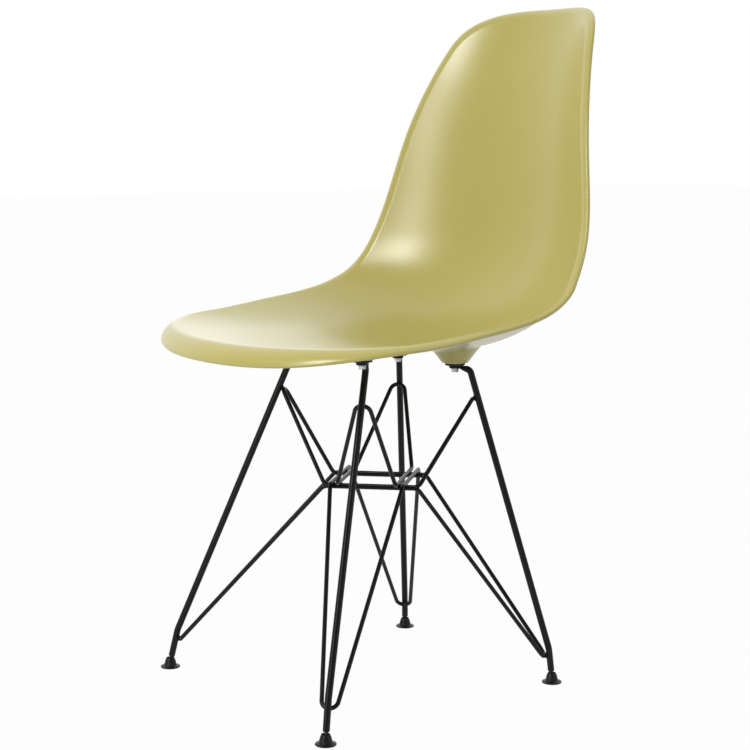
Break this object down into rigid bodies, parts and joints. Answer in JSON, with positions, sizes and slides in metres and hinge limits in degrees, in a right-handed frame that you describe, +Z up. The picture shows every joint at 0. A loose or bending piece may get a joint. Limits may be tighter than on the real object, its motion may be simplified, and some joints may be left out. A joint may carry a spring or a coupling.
{
  "type": "moulded shell chair",
  "caption": "Side chair with a one-piece moulded seat and back shell on a welded frame of bent steel rod legs and crossed wire loops, with swivelling floor glides.",
  "frame": {"origin": "on the floor, midway between the shell's front and back edges, on the plane of symmetry", "axes": "+Z up, -Y the way the sitter looks, +X to the sitter's left"},
  "size_m": [0.4668, 0.5228, 0.8143],
  "materials": {
    "shell_plastic": "satin moulded polypropylene, mustard",
    "insert_brass": "turned",
    "spacer_rubber": "matt moulded rubber",
    "zinc_plate": "zinc plated",
    "black_paint": "gloss black powder coat",
    "stud_steel": "turned steel",
    "glide_plastic": "moulded black plastic"
  },
  "bodies": {
    "frame": {"ball_stud_front_left": "stud_steel", "ball_stud_front_right": "stud_steel", "ball_stud_rear_left": "stud_steel", "ball_stud_rear_right": "stud_steel", "leg_rod_front_left": "black_paint", "leg_rod_front_right": "black_paint", "leg_rod_rear_left": "black_paint", "leg_rod_rear_right": "black_paint", "lock_washer_front_left": "zinc_plate", "lock_washer_front_right": "zinc_plate", "lock_washer_rear_left": "zinc_plate", "lock_washer_rear_right": "zinc_plate", "lower_loop_left": "black_paint", "lower_loop_right": "black_paint", "mounting_screw_front_left": "zinc_plate", "mounting_screw_front_right": "zinc_plate", "mounting_screw_rear_left": "zinc_plate", "mounting_screw_rear_right": "zinc_plate", "rubber_spacer_front_left": "spacer_rubber", "rubber_spacer_front_right": "spacer_rubber", "rubber_spacer_rear_left": "spacer_rubber", "rubber_spacer_rear_right": "spacer_rubber", "seat_shell": "shell_plastic", "threaded_insert_front_left": "insert_brass", "threaded_insert_front_right": "insert_brass", "threaded_insert_rear_left": "insert_brass", "threaded_insert_rear_right": "insert_brass", "upper_loop_left": "black_paint", "upper_loop_right": "black_paint"},
    "glide_front_left": {"glide_front_left": "glide_plastic"},
    "glide_front_right": {"glide_front_right": "glide_plastic"},
    "glide_rear_left": {"glide_rear_left": "glide_plastic"},
    "glide_rear_right": {"glide_rear_right": "glide_plastic"}
  },
  "joints": [
    {"name": "glide_front_left_tilt", "type": "hinge", "parent": "frame", "child": "glide_front_left", "pos_m": [0.1728, -0.2063, 0.007], "axis": [0.7841, 0.6207, 0], "range_deg": [-8, 8]},
    {"name": "glide_front_right_tilt", "type": "hinge", "parent": "frame", "child": "glide_front_right", "pos_m": [-0.1728, -0.2063, 0.007], "axis": [0.7841, -0.6207, 0], "range_deg": [-8, 8]},
    {"name": "glide_rear_left_tilt", "type": "hinge", "parent": "frame", "child": "glide_rear_left", "pos_m": [0.1493, 0.1404, 0.007], "axis": [-0.662, 0.7495, 0], "range_deg": [-8, 8]},
    {"name": "glide_rear_right_tilt", "type": "hinge", "parent": "frame", "child": "glide_rear_right", "pos_m": [-0.1493, 0.1404, 0.007], "axis": [-0.662, -0.7495, 0], "range_deg": [-8, 8]}
  ]
}
